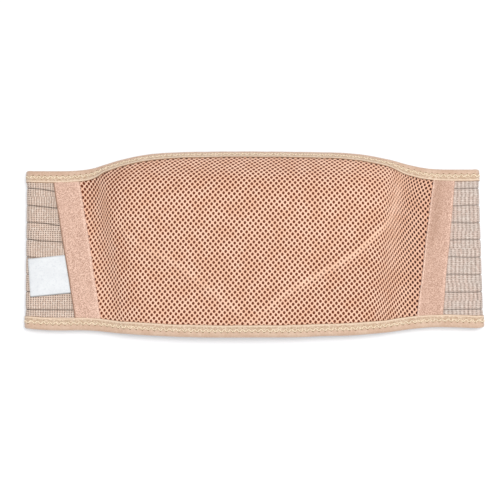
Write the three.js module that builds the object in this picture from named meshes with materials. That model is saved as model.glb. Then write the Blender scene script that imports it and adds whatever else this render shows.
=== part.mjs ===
// Maternity support belt, lying on its back and folded flat, with the cupped belly panel facing up.
// From the panel each wing runs outwards, goes round a fold and comes back under the front, and
// the two wing ends overlap at the middle of the back. Millimetres, +Z up, the floor at Z = 0.

import * as THREE from 'three';

// Outline of the folded belt, seen from above
const FRONT_WIDTH = 458; // over both folds
const PANEL_HEIGHT = 188.6; // across the middle of the belly panel
const WING_HEIGHT = 161.8; // across a wing
const WING_DROP = 3.5; // how much lower the wings' centre line lies than the panel's
const BACK_SHIFT = 3; // how far the back lies nearer to the top edge than the front
const OVERLAP = 70; // of the two wing ends at the back
const LOOP_GAP = 6; // clear height between front and back at the folds

// Walls and fits
const WING_WALL = 2.4;
const PANEL_WALL = 3.2;
const STRIP_WALL = 1.5;
const LABEL_WALL = 0.8;
const TAPE_WALL = 1;
const FIT = 0.3; // between two pieces that lie against each other

// Trim
const TAPE_WIDTH = 12.5; // seen width of a binding
const STRIP_WIDTH = 26; // at its widest
const LABEL_WIDTH = 38;
const LABEL_HEIGHT = 39;
const LABEL_DROP = 28; // its middle, below the wings' centre line
const LABEL_SLANT = 2.8; // how much lower its outer edge sits
const PATCH_MARGIN = 4; // left free round the hook patch

// Ribs of the elastic
const RIB_PITCH = 17.7;
const RIB_GROOVES = 8;
const GROOVE_WIDTH = 2;
const GROOVE_DEPTH = 0.6;

// The cup of the belly panel, and the ramp of the wing end that lies on the other
const CUP_DEPTH = 36.5; // its crest, above the wings
const CREASE_DEPTH = 4.6;
const CREASE_WIDTH = 13;
const RAMP_LENGTH = 30;
const RAMP_MARGIN = 8; // from the top of the ramp to the end below it

// Facets
const FOLD_STEPS = 6;
const RAMP_STEPS = 4;
const PANEL_COLUMNS = 34;
const PANEL_ROWS = 16;
const STRIP_ROWS = 6;
const MEASURE_STEPS = 160; // for lengths across the belt
const COLUMN_EASE = 0.35; // columns crowd at the shoulders of the cup by this share
const SLOPE_STEP = 0.5; // distance over which slopes are taken

// Edges of the belt from the left fold, -1, to the right fold, 1. Rise goes from 0 at the wings'
// edge to 1 at the panel's, and drop does the same below.
const TOP_EDGE = [
  { along: -1, rise: -0.05 },
  { along: -0.82, rise: -0.05 },
  { along: -0.73, rise: 0.05 },
  { along: -0.66, rise: 0.24 },
  { along: -0.59, rise: 0.52 },
  { along: -0.45, rise: 0.88 },
  { along: -0.2, rise: 1 },
  { along: 0.25, rise: 0.98 },
  { along: 0.45, rise: 0.89 },
  { along: 0.61, rise: 0.53 },
  { along: 0.75, rise: 0.14 },
  { along: 0.84, rise: 0.05 },
  { along: 1, rise: 0.05 },
];
const BOTTOM_EDGE = [
  { along: -1, drop: 0 },
  { along: -0.88, drop: 0.19 },
  { along: -0.7, drop: 0.22 },
  { along: -0.52, drop: 0.68 },
  { along: -0.25, drop: 1 },
  { along: 0.17, drop: 1 },
  { along: 0.3, drop: 0.86 },
  { along: 0.42, drop: 0.77 },
  { along: 0.56, drop: 0.46 },
  { along: 0.7, drop: 0.01 },
  { along: 0.8, drop: -0.13 },
  { along: 1, drop: 0 },
];

// Seams between wings and panel, under the middle of each strip, as shares of half the front
// width, and the strip's width at its two ends as shares of the widest.
const SEAMS = {
  left: { side: -1, bottom: -0.711, top: -0.831, wideBottom: 1, wideTop: 1 },
  right: { side: 1, bottom: 0.754, top: 0.845, wideBottom: 1, wideTop: 0.85 },
};

// Height of the cup across its middle, from the bottom edge, 0, to the top edge, 1
const CUP_ACROSS = [
  { across: 0, lift: 0.24 },
  { across: 0.25, lift: 0.51 },
  { across: 0.5, lift: 0.79 },
  { across: 0.65, lift: 0.95 },
  { across: 0.74, lift: 1 },
  { across: 0.83, lift: 0.9 },
  { across: 0.92, lift: 0.56 },
  { across: 1, lift: 0.16 },
];

// Shoulders of the cup, as its height at distances from the strip, shares of the panel's height
const LEFT_SHOULDER = [
  { away: 0, rise: 0 },
  { away: 0.04, rise: 0.06 },
  { away: 0.09, rise: 0.3 },
  { away: 0.15, rise: 0.58 },
  { away: 0.3, rise: 0.77 },
  { away: 0.56, rise: 0.94 },
  { away: 0.84, rise: 1 },
];
const RIGHT_SHOULDER = [
  { away: 0, rise: 0 },
  { away: 0.1, rise: 0.1 },
  { away: 0.16, rise: 0.23 },
  { away: 0.25, rise: 0.6 },
  { away: 0.42, rise: 0.82 },
  { away: 0.64, rise: 0.95 },
  { away: 0.87, rise: 1 },
];

// Arms of the V-shaped crease: along as above, height as a share of half the panel's height, and
// depth as a share of the deepest
const LEFT_ARM = [
  { along: -0.7, height: 0.7, depth: 0.6 },
  { along: -0.646, height: 0.3, depth: 0.6 },
  { along: -0.561, height: 0.02, depth: 0.6 },
  { along: -0.344, height: -0.26, depth: 0.6 },
  { along: -0.117, height: -0.68, depth: 0.35 },
  { along: 0.06, height: -1.05, depth: 0 },
];
const RIGHT_ARM = [
  { along: -0.12, height: -1.08, depth: 0 },
  { along: 0.039, height: -0.77, depth: 0.45 },
  { along: 0.155, height: -0.55, depth: 0.9 },
  { along: 0.434, height: -0.16, depth: 1 },
  { along: 0.528, height: 0.05, depth: 1 },
  { along: 0.6, height: 0.27, depth: 0.9 },
  { along: 0.64, height: 0.8, depth: 0.6 },
];

// Sizes that follow from those above
const half = FRONT_WIDTH / 2;
const wingHalf = WING_WALL / 2;
const slotHalf = wingHalf + FIT;
const tapeHalf = slotHalf + TAPE_WALL;
const bindingWall = 2 * tapeHalf;
const backZ = tapeHalf;
const frontZ = backZ + bindingWall + LOOP_GAP;
const foldRadius = (frontZ - backZ) / 2;
const foldX = half - tapeHalf - foldRadius;
const foldLength = Math.PI * foldRadius;
const lapRise = bindingWall + FIT;
const sheetInset = TAPE_WALL + FIT;
const wingTop = WING_HEIGHT / 2 - WING_DROP;
const wingBottom = -WING_HEIGHT / 2 - WING_DROP;
const backLength = foldX + OVERLAP / 2;
const rampEnd = foldX - OVERLAP / 2 - RAMP_MARGIN;
const rampStart = rampEnd - RAMP_LENGTH;

const lerp = THREE.MathUtils.lerp;
const smooth = (value) => THREE.MathUtils.smoothstep(value, 0, 1);

// A smooth curve through the rows of a table, level beyond its first and last row
function through(rows, from, to, at) {
  const last = rows.length - 1;
  if (at <= rows[0][from]) return rows[0][to];
  if (at >= rows[last][from]) return rows[last][to];
  const slope = (a, b) => (rows[b][to] - rows[a][to]) / (rows[b][from] - rows[a][from]);
  const next = rows.findIndex((row) => row[from] > at);
  const step = next - 1;
  const span = rows[next][from] - rows[step][from];
  const share = (at - rows[step][from]) / span;
  const leave = step === 0 ? slope(0, 1) : slope(step - 1, next);
  const arrive = next === last ? slope(step, last) : slope(step, next + 1);
  const rest = 1 - share;
  return (
    rows[step][to] * rest * rest * (1 + 2 * share)
    + rows[next][to] * share * share * (3 - 2 * share)
    + span * share * rest * (leave * rest - arrive * share)
  );
}

const topEdge = (x) => lerp(wingTop, PANEL_HEIGHT / 2, through(TOP_EDGE, 'along', 'rise', x / half));
const bottomEdge = (x) => (
  lerp(wingBottom, -PANEL_HEIGHT / 2, through(BOTTOM_EDGE, 'along', 'drop', x / half))
);

// X of a line that runs along a strip: 0 at the seam, -1 at the edge by the wing, 1 by the panel
function stripLine(seam, place, across) {
  const width = STRIP_WIDTH * lerp(seam.wideBottom, seam.wideTop, across);
  return half * lerp(seam.bottom, seam.top, across) - seam.side * place * width / 2;
}

// Depth of the step in the panel below one arm of the crease
function creaseDrop(arm, x, y) {
  const heightAt = (place) => PANEL_HEIGHT / 2 * through(arm, 'along', 'height', place / half);
  const slope = (heightAt(x + SLOPE_STEP) - heightAt(x - SLOPE_STEP)) / (2 * SLOPE_STEP);
  const below = (heightAt(x) - y) / Math.hypot(1, slope);
  const depth = CREASE_DEPTH * through(arm, 'along', 'depth', x / half);
  return depth * smooth(below / CREASE_WIDTH + 0.5);
}

// Height of the front over the plan
function frontHeight(x, y) {
  const across = (y - bottomEdge(x)) / (topEdge(x) - bottomEdge(x));
  const leftAway = (x - stripLine(SEAMS.left, 1, across)) / PANEL_HEIGHT;
  const rightAway = (stripLine(SEAMS.right, 1, across) - x) / PANEL_HEIGHT;
  const shoulders = through(LEFT_SHOULDER, 'away', 'rise', leftAway)
    * through(RIGHT_SHOULDER, 'away', 'rise', rightAway);
  const cup = CUP_DEPTH * through(CUP_ACROSS, 'across', 'lift', across);
  const creases = Math.max(creaseDrop(LEFT_ARM, x, y), creaseDrop(RIGHT_ARM, x, y));
  return frontZ + shoulders * (cup - creases);
}

// Point and outward direction on the middle of the panel's wall
function panelFrame(x, y) {
  const slopeX = (frontHeight(x + SLOPE_STEP, y) - frontHeight(x - SLOPE_STEP, y)) / (2 * SLOPE_STEP);
  const slopeY = (frontHeight(x, y + SLOPE_STEP) - frontHeight(x, y - SLOPE_STEP)) / (2 * SLOPE_STEP);
  return {
    point: new THREE.Vector3(x, y, frontHeight(x, y)),
    out: new THREE.Vector3(-slopeX, -slopeY, 1).normalize(),
  };
}

// The same on a wing. Reach is the distance inwards from where the fold meets the front, so it
// is negative round the fold and along the back. The cloth shifts towards the top edge as it
// goes round the fold. Only the right wing has the ramp.
function wingFrame(side, reach, y) {
  if (reach >= 0) {
    return {
      point: new THREE.Vector3(side * (foldX - reach), y, frontZ),
      out: new THREE.Vector3(0, 0, 1),
    };
  }
  if (reach > -foldLength) {
    const turn = -reach / foldRadius;
    const out = new THREE.Vector3(side * Math.sin(turn), 0, Math.cos(turn));
    const shifted = y + BACK_SHIFT * turn / Math.PI;
    const centre = new THREE.Vector3(side * foldX, shifted, frontZ - foldRadius);
    return { point: centre.addScaledVector(out, foldRadius), out };
  }
  const along = -reach - foldLength;
  const rise = (place) => (side > 0 ? lapRise * smooth((place - rampStart) / RAMP_LENGTH) : 0);
  const slope = (rise(along + SLOPE_STEP) - rise(along - SLOPE_STEP)) / (2 * SLOPE_STEP);
  return {
    point: new THREE.Vector3(side * (foldX - along), y + BACK_SHIFT, backZ + rise(along)),
    out: new THREE.Vector3(-side * slope, 0, -1).normalize(),
  };
}

// A column crosses the belt from its bottom edge to its top edge. Share goes from 0 to 1 over
// the plan, and at takes the distance along the cloth from the bottom edge.
function column(frameAtShare) {
  const points = [];
  for (let i = 0; i <= MEASURE_STEPS; i += 1) points.push(frameAtShare(i / MEASURE_STEPS).point);
  const run = [0];
  for (let i = 1; i <= MEASURE_STEPS; i += 1) run.push(run[i - 1] + points[i].distanceTo(points[i - 1]));
  const length = run[MEASURE_STEPS];
  const at = (distance) => {
    const next = THREE.MathUtils.clamp(run.findIndex((d) => d >= distance), 1, MEASURE_STEPS);
    const part = (distance - run[next - 1]) / (run[next] - run[next - 1]);
    return frameAtShare((next - 1 + part) / MEASURE_STEPS);
  };
  return { length, at };
}

function wingColumn(side, reach) {
  const x = side * (foldX - Math.max(reach, 0));
  return column((share) => wingFrame(side, reach, lerp(bottomEdge(x), topEdge(x), share)));
}

function lineColumn(lineX) {
  return column((share) => {
    const x = lineX(share);
    return panelFrame(x, lerp(bottomEdge(x), topEdge(x), share));
  });
}

// Columns of one wing, from the fold's start at the front to the wing's end at the back
function wingReaches(side) {
  const reaches = [];
  for (let i = 0; i <= FOLD_STEPS; i += 1) reaches.push(-foldLength * i / FOLD_STEPS);
  if (side > 0) {
    for (let i = 0; i <= RAMP_STEPS; i += 1) {
      reaches.push(-foldLength - rampStart - RAMP_LENGTH * i / RAMP_STEPS);
    }
  }
  reaches.push(-foldLength - backLength);
  return reaches;
}

// Columns of one strip's half: by the wing, at the seam, and by the panel
function stripColumns(seam, places) {
  return places.map((place) => lineColumn((share) => stripLine(seam, place, share)));
}

function panelColumns() {
  const columns = [];
  for (let i = 1; i < PANEL_COLUMNS; i += 1) {
    const even = i / PANEL_COLUMNS;
    const eased = even - COLUMN_EASE * Math.sin(2 * Math.PI * even) / (2 * Math.PI);
    columns.push(lineColumn((share) => (
      lerp(stripLine(SEAMS.left, 1, share), stripLine(SEAMS.right, 1, share), eased)
    )));
  }
  return columns;
}

// A closed body from rings of points, given from the belt's left end to its right end, all with
// as many points. The first half of each ring is one face of the wall and the second half comes
// back along the other. Each square is split from its upper left corner down to its lower right
// one, so that walls that lie on each other bend at the same lines.
function solidFromRings(rings) {
  const count = rings[0].length;
  const positions = rings.flatMap((ring) => ring.flatMap((point) => point.toArray()));
  const index = [];
  for (let r = 0; r + 1 < rings.length; r += 1) {
    for (let k = 0; k < count; k += 1) {
      const next = (k + 1) % count;
      const [a, b] = [r * count + k, r * count + next];
      const [c, d] = [b + count, a + count];
      if (rings[r][k].y > rings[r][next].y) index.push(a, b, c, a, c, d);
      else index.push(b, c, d, b, d, a);
    }
  }
  const end = (rings.length - 1) * count;
  for (let k = 0; k + 1 < count / 2; k += 1) {
    const inner = count - 1 - k;
    index.push(k, inner, inner - 1, k, inner - 1, k + 1);
    index.push(end + k, end + k + 1, end + inner - 1, end + k, end + inner - 1, end + inner);
  }
  const geometry = new THREE.BufferGeometry();
  geometry.setAttribute('position', new THREE.Float32BufferAttribute(positions, 3));
  geometry.setIndex(index);
  geometry.computeVertexNormals();
  return geometry;
}

const offset = (frame, distance) => frame.point.clone().addScaledVector(frame.out, distance);

// A wall over a grid of frames, between two distances from the cloth's middle. Each may be a
// number or a function of the frame's place in the grid.
function wallSolid(grid, inner, outer) {
  const distance = (value, row, col) => (typeof value === 'number' ? value : value(row, col));
  return solidFromRings(grid.map((frames, col) => [
    ...frames.map((frame, row) => offset(frame, distance(outer, row, col))).reverse(),
    ...frames.map((frame, row) => offset(frame, distance(inner, row, col))),
  ]));
}

// Grooves across a wing, as rows of heights with the depth that is cut there
function ribRows() {
  const rows = [];
  for (let i = 0; i < RIB_GROOVES; i += 1) {
    const y = (i - (RIB_GROOVES - 1) / 2) * RIB_PITCH - WING_DROP;
    rows.push({ y: y - GROOVE_WIDTH / 2, cut: 0 });
    rows.push({ y, cut: GROOVE_DEPTH });
    rows.push({ y: y + GROOVE_WIDTH / 2, cut: 0 });
  }
  return rows;
}

// One wing with its half under the strip. It ends just short of the seam.
function wingGeometry(side, seam) {
  const rows = ribRows();
  const lineFrames = (place, gap) => {
    const middle = stripLine(seam, place, 0.5);
    const shareOf = (y) => (y - bottomEdge(middle)) / (topEdge(middle) - bottomEdge(middle));
    const low = bottomEdge(stripLine(seam, place, 0)) + sheetInset;
    const high = topEdge(stripLine(seam, place, 1)) - sheetInset;
    return [low, ...rows.map((row) => row.y), high].map((y) => (
      wingFrame(side, foldX - side * stripLine(seam, place, shareOf(y)) - gap, y)
    ));
  };
  const reachFrames = (reach) => {
    const low = bottomEdge(side * foldX) + sheetInset;
    const high = topEdge(side * foldX) - sheetInset;
    return [low, ...rows.map((row) => row.y), high].map((y) => wingFrame(side, reach, y));
  };
  const grid = [lineFrames(0, FIT / 2), lineFrames(-1, 0), ...wingReaches(side).map(reachFrames)];
  if (side < 0) grid.reverse();
  const cut = (row) => (row > 0 && row <= rows.length ? rows[row - 1].cut : 0);
  return wallSolid(grid, -wingHalf, (row) => wingHalf - cut(row));
}

// The belly panel. Its wall is pressed thin under the tapes and strips.
function panelGeometry() {
  const seamLine = (seam) => lineColumn((share) => stripLine(seam, 0, share) - seam.side * FIT / 2);
  const columns = [
    seamLine(SEAMS.left),
    ...stripColumns(SEAMS.left, [1]),
    ...panelColumns(),
    ...stripColumns(SEAMS.right, [1]),
    seamLine(SEAMS.right),
  ];
  const lastColumn = columns.length - 1;
  const edge = [sheetInset, TAPE_WIDTH / 3, TAPE_WIDTH];
  const grid = columns.map(({ length, at }) => {
    const distances = [...edge];
    for (let i = 1; i <= PANEL_ROWS; i += 1) {
      distances.push(lerp(TAPE_WIDTH, length - TAPE_WIDTH, i / (PANEL_ROWS + 1)));
    }
    distances.push(...edge.map((distance) => length - distance).reverse());
    return distances.map(at);
  });
  const lastRow = grid[0].length - 1;
  const halfWall = (row, col) => {
    const underTape = row < edge.length || row > lastRow - edge.length;
    const underStrip = col < 2 || col > lastColumn - 2;
    return (underTape || underStrip ? WING_WALL : PANEL_WALL) / 2;
  };
  return wallSolid(grid, (row, col) => -halfWall(row, col), halfWall);
}

// Tape folded round one long edge, from one wing end to the other
function bindingGeometry(isTop) {
  const columns = [
    ...wingReaches(-1).reverse().map((reach) => wingColumn(-1, reach)),
    ...stripColumns(SEAMS.left, [-1, 0, 1]),
    ...panelColumns(),
    ...stripColumns(SEAMS.right, [1, 0, -1]),
    ...wingReaches(1).map((reach) => wingColumn(1, reach)),
  ];
  const outerFace = [
    { inset: TAPE_WIDTH, out: tapeHalf },
    { inset: TAPE_WIDTH / 3, out: tapeHalf },
    { inset: TAPE_WALL, out: tapeHalf - FIT },
    { inset: 0, out: tapeHalf / 2 },
  ];
  const innerFace = [
    { inset: TAPE_WIDTH, out: slotHalf },
    { inset: TAPE_WIDTH / 3, out: slotHalf },
    { inset: TAPE_WALL, out: slotHalf },
    { inset: TAPE_WALL, out: slotHalf / 2 },
  ];
  const mirrored = (face) => [...face, ...face.map(({ inset, out }) => ({ inset, out: -out })).reverse()];
  const rings = columns.map(({ length, at }) => {
    const place = ({ inset, out }) => offset(at(isTop ? length - inset : inset), out);
    const ring = [...mirrored(outerFace).map(place), ...mirrored(innerFace).map(place).reverse()];
    return isTop ? ring.reverse() : ring;
  });
  return solidFromRings(rings);
}

// A velour strip over the seam, from one binding to the other
function stripGeometry(seam) {
  const grid = stripColumns(seam, seam.side < 0 ? [-1, 0, 1] : [1, 0, -1]).map(({ length, at }) => {
    const frames = [];
    for (let i = 0; i <= STRIP_ROWS; i += 1) {
      frames.push(at(lerp(TAPE_WIDTH + FIT, length - TAPE_WIDTH - FIT, i / STRIP_ROWS)));
    }
    return frames;
  });
  return wallSolid(grid, slotHalf, slotHalf + STRIP_WALL);
}

// The woven label on the left wing, from the strip outwards and a little way round the fold
function labelGeometry() {
  const middle = -WING_DROP - LABEL_DROP;
  const rows = [-LABEL_HEIGHT / 2, LABEL_HEIGHT / 2];
  const stripReach = (y) => {
    const share = (y - wingBottom) / WING_HEIGHT;
    return foldX + stripLine(SEAMS.left, -1, share) - FIT;
  };
  const outerReach = stripReach(middle) - LABEL_WIDTH;
  const line = (share) => rows.map((row) => {
    const y = middle + row - LABEL_SLANT * (1 - share);
    return { reach: lerp(outerReach, stripReach(y), share), y };
  });
  const foldShare = -outerReach / LABEL_WIDTH;
  const shares = outerReach < 0 ? [0, foldShare / 2, foldShare, 1] : [0, 1];
  const grid = shares.map((share) => line(share).map(({ reach, y }) => wingFrame(-1, reach, y)));
  return wallSolid(grid, slotHalf, slotHalf + LABEL_WALL);
}

// The hook patch between the two wing ends
function hookPatchGeometry() {
  const width = OVERLAP - 2 * PATCH_MARGIN;
  const height = WING_HEIGHT - 2 * (TAPE_WIDTH + PATCH_MARGIN);
  const wall = lapRise - WING_WALL - 2 * FIT;
  const geometry = new THREE.BoxGeometry(width, height, wall);
  return geometry.translate(0, BACK_SHIFT - WING_DROP, backZ + slotHalf + wall / 2);
}

function cloth(color, roughness) {
  return new THREE.MeshStandardMaterial({ color, roughness, metalness: 0 });
}

const mesh3d = cloth('#d2a288', 0.9);
const elastic = cloth('#cebaa9', 0.85);
const velour = cloth('#d9b7a5', 0.95);
const tape = cloth('#e5cbb4', 0.7);
const wovenLabel = cloth('#f8f8f6', 0.6);
const hooks = cloth('#d8c3b0', 0.8);

function piece(name, geometry, material) {
  const mesh = new THREE.Mesh(geometry, material);
  mesh.name = name;
  return mesh;
}

const belt = new THREE.Group();
belt.add(
  piece('belly_panel', panelGeometry(), mesh3d),
  piece('left_wing', wingGeometry(-1, SEAMS.left), elastic),
  piece('right_wing', wingGeometry(1, SEAMS.right), elastic),
  piece('left_strip', stripGeometry(SEAMS.left), velour),
  piece('right_strip', stripGeometry(SEAMS.right), velour),
  piece('top_binding', bindingGeometry(true), tape),
  piece('bottom_binding', bindingGeometry(false), tape),
  piece('label', labelGeometry(), wovenLabel),
  piece('hook_patch', hookPatchGeometry(), hooks),
);

export default belt;
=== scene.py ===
"""Looks of a maternity support belt that lies folded flat, its cupped belly panel up.

Metres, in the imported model's frame: +X to the belt's right end, +Y to its top edge, floor at Z = 0.
"""

import math

import bpy
import bmesh
import numpy as np
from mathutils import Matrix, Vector


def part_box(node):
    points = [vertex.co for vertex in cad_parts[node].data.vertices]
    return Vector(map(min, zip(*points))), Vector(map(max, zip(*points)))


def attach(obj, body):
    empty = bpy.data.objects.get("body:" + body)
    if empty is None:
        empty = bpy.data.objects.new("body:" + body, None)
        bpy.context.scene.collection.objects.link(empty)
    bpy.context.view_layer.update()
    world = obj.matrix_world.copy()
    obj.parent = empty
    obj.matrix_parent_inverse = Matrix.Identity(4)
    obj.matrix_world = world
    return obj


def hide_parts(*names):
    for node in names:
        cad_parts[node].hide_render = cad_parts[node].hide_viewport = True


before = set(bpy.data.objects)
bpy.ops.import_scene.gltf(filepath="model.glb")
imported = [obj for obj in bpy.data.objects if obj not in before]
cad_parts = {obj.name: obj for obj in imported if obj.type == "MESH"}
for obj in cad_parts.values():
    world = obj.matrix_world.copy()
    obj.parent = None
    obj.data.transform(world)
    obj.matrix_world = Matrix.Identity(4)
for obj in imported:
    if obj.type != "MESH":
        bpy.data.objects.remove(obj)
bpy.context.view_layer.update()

MM = 0.001

# Outline of the folded belt, seen from above
HALF = 229 * MM  # half the front's width, over a fold
PANEL_HEIGHT = 188.6 * MM
WING_HEIGHT = 161.8 * MM
WING_DROP = 3.5 * MM
BACK_SHIFT = 3 * MM
OVERLAP = 70 * MM
LOOP_GAP = 6 * MM

# Walls and trim
WING_WALL = 2.4 * MM
PANEL_WALL = 3.2 * MM
STRIP_WALL = 1.5 * MM
LABEL_WALL = 0.8 * MM
TAPE_WALL = 1 * MM
FIT = 0.3 * MM
TAPE_WIDTH = 12.5 * MM
STRIP_WIDTH = 26 * MM
LABEL_WIDTH = 38 * MM
LABEL_HEIGHT = 39 * MM
LABEL_DROP = 28 * MM
LABEL_SLANT = 4 * MM
LEAN_OUT = 2.5 * MM  # of the left fold at its top
LEAN_IN = 0.8 * MM  # of the left fold at its bottom

# Ribs of the elastic
RIB_PITCH = 17.7 * MM
RIB_GROOVES = 8
GROOVE_DEPTH = 0.9 * MM
GROOVE_HALF = 0.5 * MM
RIB_CROWN = 0.2 * MM

# The cup, its creases, and the ramp of the wing end that lies on the other
CUP_DEPTH = 36.5 * MM
CREASE_DEPTH = 3.4 * MM
CREASE_WIDTH = 15 * MM
RIDGE = 0.9 * MM  # of the sharp fold along a crease
RIDGE_ABOVE = 2 * MM
RIDGE_WIDTH = 2 * MM
RAMP_LENGTH = 30 * MM
RAMP_MARGIN = 8 * MM

# The open face of the spacer mesh: a lattice of diamonds with a round hole in each
HOLE_PITCH = 5.3 * MM  # between holes of one row
ROW_PITCH = 3 * MM  # between rows, each staggered by half a pitch
HOLE_WIDTH = 2.7 * MM
HOLE_HEIGHT = 3.2 * MM
FACE_ROUND = 0.3 * MM  # fall from the strands' crest to the rim of a hole
FACE_DEPTH = 0.8 * MM
LATTICE_TURN = math.radians(-6)
PINCH = 0.3  # of a hole's size, lost on the sharp fold of a crease
WIDENED = 0.6  # as a share of that, gained where the holes are pulled wide open
TOP_OPEN = 0.7  # how far they are pulled open along the top, away from the right strip
TOP_ONSET, TOP_BLEND = 0.65, 0.3  # where that starts and how soon it is full, shares of the way up
TOP_FADING = 160 * MM  # from the right strip
ARM_OPEN = 0.3  # the same, below the right arm of the crease and in a band above it
ARM_BAND, BAND_WIDTH = 0.6, 0.35  # of that band: its middle above the arm, in widths of the crease

# Where the mesh is drawn together beside each strip: place from the strip, width to either side,
# extra cloth as a share, and how far the holes are pulled open at the bottom and at the top
LEFT_GATHER = {
    "place": 26 * MM, "width": 14 * MM, "extra": 0.28, "open_bottom": 0.3, "open_top": 0.95,
}
RIGHT_GATHER = {
    "place": 30 * MM, "width": 17 * MM, "extra": 0.7, "open_bottom": 0.25, "open_top": -0.1,
}
SHEAR = 0.65  # turn of the rows there, as a share of the extra cloth

# Stitches of the bindings
STITCH_PITCH = 6 * MM
STITCH_OUTER = 5.2 * MM  # row by the folded edge, from that edge
STITCH_INNER = 8.6 * MM
THREAD = 0.65 * MM
NEEDLE_HOLE = 0.7 * MM

MEASURE_STEPS = 160  # for lengths across the belt
LAID_STEPS = 48  # for lengths along the panel's cloth
SLOPE_STEP = 0.5 * MM

# Edges from the left fold, -1, to the right fold, 1, with their rise from the wings' edge, 0, to
# the panel's, 1
TOP_EDGE = (
    (-1, -0.05), (-0.82, -0.05), (-0.73, 0.05), (-0.66, 0.24), (-0.59, 0.52), (-0.45, 0.88),
    (-0.2, 1), (0.25, 0.98), (0.45, 0.89), (0.61, 0.53), (0.75, 0.14), (0.84, 0.05), (1, 0.05),
)
BOTTOM_EDGE = (
    (-1, 0), (-0.88, 0.19), (-0.7, 0.22), (-0.52, 0.68), (-0.25, 1), (0.17, 1),
    (0.3, 0.86), (0.42, 0.77), (0.56, 0.46), (0.7, 0.01), (0.8, -0.13), (1, 0),
)

# Seams under the strips: side, place at the bottom and top edge, width there as a share
LEFT_SEAM = {"side": -1, "bottom": -0.711, "top": -0.831, "wide_bottom": 1, "wide_top": 1}
RIGHT_SEAM = {"side": 1, "bottom": 0.754, "top": 0.845, "wide_bottom": 1, "wide_top": 0.85}

# Height of the cup from the bottom edge, 0, to the top edge, 1, and of its shoulders at distances
# from the strips, as shares of the panel's height
CUP_ACROSS = (
    (0, 0.24), (0.25, 0.51), (0.5, 0.79), (0.65, 0.95), (0.74, 1), (0.83, 0.9), (0.92, 0.56),
    (1, 0.16),
)
LEFT_SHOULDER = (
    (0, 0), (0.04, 0.05), (0.09, 0.24), (0.135, 0.54), (0.17, 0.62), (0.3, 0.77), (0.56, 0.94),
    (0.84, 1),
)
RIGHT_SHOULDER = (
    (0, 0), (0.1, 0.1), (0.16, 0.2), (0.24, 0.6), (0.29, 0.69), (0.42, 0.82), (0.64, 0.95),
    (0.87, 1),
)

# Arms of the V-shaped crease: place along, height as a share of half the panel's, and share of the
# depth
LEFT_ARM = (
    (-0.67, 0.7, 0), (-0.61, 0.3, 0.2), (-0.54, 0.02, 0.4), (-0.344, -0.26, 0.5),
    (-0.117, -0.68, 0.4), (0.06, -1.05, 0),
)
RIGHT_ARM = (
    (-0.12, -1.08, 0), (0.039, -0.77, 0.35), (0.155, -0.55, 0.6), (0.434, -0.16, 1),
    (0.528, 0.05, 1), (0.6, 0.27, 0.6), (0.66, 0.8, 0),
)

# Sizes that follow
WING_HALF = WING_WALL / 2
SLOT_HALF = WING_HALF + FIT
TAPE_HALF = SLOT_HALF + TAPE_WALL
BACK_Z = TAPE_HALF
FRONT_Z = BACK_Z + 2 * TAPE_HALF + LOOP_GAP
FOLD_RADIUS = (FRONT_Z - BACK_Z) / 2
FOLD_X = HALF - TAPE_HALF - FOLD_RADIUS
FOLD_LENGTH = math.pi * FOLD_RADIUS
LAP_RISE = 2 * TAPE_HALF + FIT
SHEET_INSET = TAPE_WALL + FIT
WING_TOP = WING_HEIGHT / 2 - WING_DROP
WING_BOTTOM = -WING_HEIGHT / 2 - WING_DROP
BACK_LENGTH = FOLD_X + OVERLAP / 2
RAMP_START = FOLD_X - OVERLAP / 2 - RAMP_MARGIN - RAMP_LENGTH
CLOTH_END = FOLD_X + FOLD_LENGTH + BACK_LENGTH  # of a wing, from the belt's middle
GROOVE_CENTRES = (np.arange(RIB_GROOVES) - (RIB_GROOVES - 1) / 2) * RIB_PITCH - WING_DROP


# The belt's surface

def lerp(a, b, share):
    return a + (b - a) * share


def smooth(value):
    value = np.clip(value, 0, 1)
    return value * value * (3 - 2 * value)


def hump(away, width):
    """1 at no distance, and next to nothing two widths away."""
    return np.exp(-((away / width) ** 2))


def through(rows, at, column=1):
    """A smooth curve through one column of a table, level beyond its first and last row."""
    table = np.array(rows, float)
    xs, ys = table[:, 0], table[:, column]
    slopes = np.empty_like(ys)
    slopes[1:-1] = (ys[2:] - ys[:-2]) / (xs[2:] - xs[:-2])
    slopes[0] = (ys[1] - ys[0]) / (xs[1] - xs[0])
    slopes[-1] = (ys[-1] - ys[-2]) / (xs[-1] - xs[-2])
    at = np.clip(at, xs[0], xs[-1])
    step = np.clip(np.searchsorted(xs, at, side="right") - 1, 0, len(xs) - 2)
    span = xs[step + 1] - xs[step]
    share = (at - xs[step]) / span
    rest = 1 - share
    return (
        ys[step] * rest**2 * (1 + 2 * share)
        + ys[step + 1] * share**2 * (3 - 2 * share)
        + span * share * rest * (slopes[step] * rest - slopes[step + 1] * share)
    )


def top_edge(x):
    return lerp(WING_TOP, PANEL_HEIGHT / 2, through(TOP_EDGE, x / HALF))


def bottom_edge(x):
    return lerp(WING_BOTTOM, -PANEL_HEIGHT / 2, through(BOTTOM_EDGE, x / HALF))


def strip_line(seam, place, across):
    """X along a strip: place 0 at the seam, -1 at the edge by the wing, 1 by the panel."""
    width = STRIP_WIDTH * lerp(seam["wide_bottom"], seam["wide_top"], across)
    return HALF * lerp(seam["bottom"], seam["top"], across) - seam["side"] * place * width / 2


def below_arm(arm, x, y):
    """Distance below one arm of the crease."""
    def height_at(place):
        return PANEL_HEIGHT / 2 * through(arm, place / HALF)

    slope = (height_at(x + SLOPE_STEP) - height_at(x - SLOPE_STEP)) / (2 * SLOPE_STEP)
    return (height_at(x) - y) / np.hypot(1, slope)


def on_ridge(arm, x, y):
    """How near a place is to the sharp fold along one arm, from 0 to 1."""
    return through(arm, x / HALF, 2) * hump(below_arm(arm, x, y) + RIDGE_ABOVE, RIDGE_WIDTH)


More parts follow.
